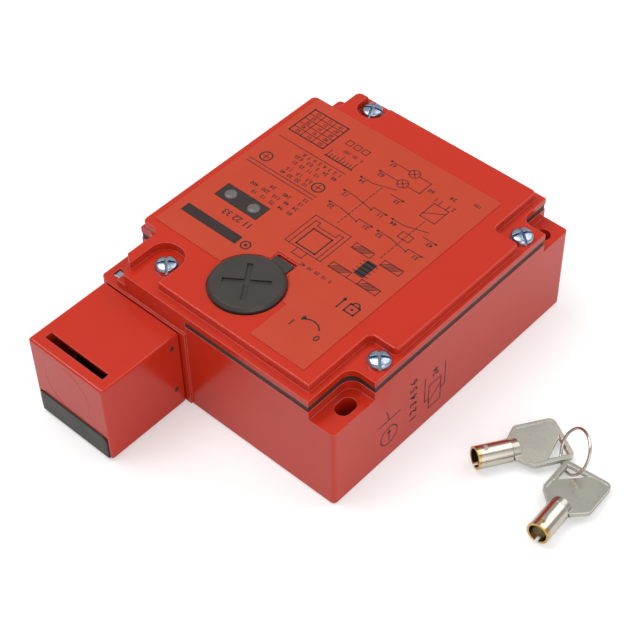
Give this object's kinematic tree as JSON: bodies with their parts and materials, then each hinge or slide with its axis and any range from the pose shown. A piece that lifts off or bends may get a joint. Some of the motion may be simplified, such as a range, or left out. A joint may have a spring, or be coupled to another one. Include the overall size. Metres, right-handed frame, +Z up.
{
  "type": "tongue interlock switch",
  "caption": "Red die-cast safety switch with a turning tongue head, a solenoid lock, a key release under a round cap, and two loose tubular keys on a ring.",
  "frame": {"origin": "on the mounting face, at the centre of the four fixing holes", "axes": "+Z up from the mounting face to the cover, -Y towards the tongue head, +X to the right seen from the head, towards the side of the loose keys"},
  "size_m": [0.1584, 0.1462, 0.0457],
  "materials": {
    "red_casting": "gloss powder coat",
    "label": "satin film",
    "seal_rubber": "matte",
    "black_plastic": "fine texture",
    "grey_lens": "frosted",
    "board": "matte",
    "led": "gloss",
    "zinc_steel": "blue zinc plate",
    "machined_steel": "turned",
    "spring_steel": "drawn wire",
    "brass": "turned",
    "silver_contact": "silver plate",
    "light_plastic": "moulded",
    "copper_winding": "enamelled wire",
    "nickel_key": "nickel plate"
  },
  "bodies": {
    "root": {"housing": "red_casting", "cover_gasket": "seal_rubber", "cover": "red_casting", "cover_screws": "zinc_steel", "label_film": "label", "display_window": "black_plastic", "display_lenses": "grey_lens", "display_board": "board", "display_leds": "led", "corner_plug": "zinc_steel", "head_bush": "brass", "head_bush_nut": "brass", "contact_base": "black_plastic", "fixed_contacts": "silver_contact", "contact_terminal_screws": "zinc_steel", "return_spring": "spring_steel", "solenoid_yoke": "zinc_steel", "solenoid_bobbin": "light_plastic", "solenoid_coil": "copper_winding", "solenoid_core": "zinc_steel", "bolt_guide": "zinc_steel", "bolt_spring": "spring_steel", "lock_barrel": "machined_steel", "lock_nut": "zinc_steel", "terminal_block": "black_plastic", "block_clamp_screws": "zinc_steel", "base_screws": "zinc_steel", "earth_screw": "brass", "earth_clamp": "zinc_steel"},
    "head": {"head_casing": "red_casting", "head_back_plate": "zinc_steel", "head_seal": "seal_rubber", "head_pins": "zinc_steel", "cam_axle": "zinc_steel", "head_plug": "black_plastic"},
    "cam": {"actuator_cam": "machined_steel"},
    "rod": {"push_rod": "machined_steel", "contact_carrier": "light_plastic", "contact_bridges": "silver_contact", "bridge_springs": "spring_steel"},
    "bolt": {"lock_bolt": "zinc_steel", "armature": "zinc_steel"},
    "lock_turn": {"lock_core": "machined_steel", "lock_cam": "zinc_steel"},
    "cap": {"lock_cap": "black_plastic"},
    "ring": {"key_ring": "nickel_key"},
    "key_a": {"key_tube_a": "nickel_key", "key_bow_a": "nickel_key"},
    "key_b": {"key_tube_b": "nickel_key", "key_bow_b": "nickel_key"}
  },
  "joints": [
    {"name": "head_swivel", "type": "hinge", "parent": "root", "child": "head", "pos_m": [-0.03, -0.07, 0.0167], "axis": [0, 1, 0], "range_deg": [-180, 180]},
    {"name": "cam_turn", "type": "hinge", "parent": "head", "child": "cam", "pos_m": [-0.03, -0.0747, 0.0167], "axis": [1, 0, 0], "range_deg": [0, 90]},
    {"name": "rod_slide", "type": "slide", "parent": "root", "child": "rod", "axis": [0, 1, 0], "range_m": [0, 0.005], "stiffness_N_per_m": 400, "springref_m": -0.002, "deforming": ["return_spring"]},
    {"name": "bolt_slide", "type": "slide", "parent": "root", "child": "bolt", "axis": [-1, 0, 0], "range_m": [0, 0.0025], "stiffness_N_per_m": 200, "springref_m": -0.002, "deforming": ["bolt_spring"]},
    {"name": "lock_rotation", "type": "hinge", "parent": "root", "child": "lock_turn", "pos_m": [-0.004, -0.0384, 0.03], "axis": [0, 0, -1], "range_deg": [0, 90]},
    {"name": "cap_lift", "type": "slide", "parent": "root", "child": "cap", "axis": [0, 0, 1], "range_m": [0, 0.012]},
    {"name": "keys_lift", "type": "slide", "parent": "root", "child": "ring", "axis": [0, 0, 1], "range_m": [0, 0.04]},
    {"name": "key_a_swing", "type": "hinge", "parent": "ring", "child": "key_a", "pos_m": [0.0885, 0.0022, 0.0021], "axis": [0, 0, 1], "range_deg": [-6, 6]},
    {"name": "key_b_swing", "type": "hinge", "parent": "ring", "child": "key_b", "pos_m": [0.0959, -0.0031, 0.0021], "axis": [0, 0, 1], "range_deg": [-6, 6]}
  ],
  "couplings": [
    {"joint": "cam_turn", "follows": "rod_slide", "rad_per_m": 314.16}
  ]
}
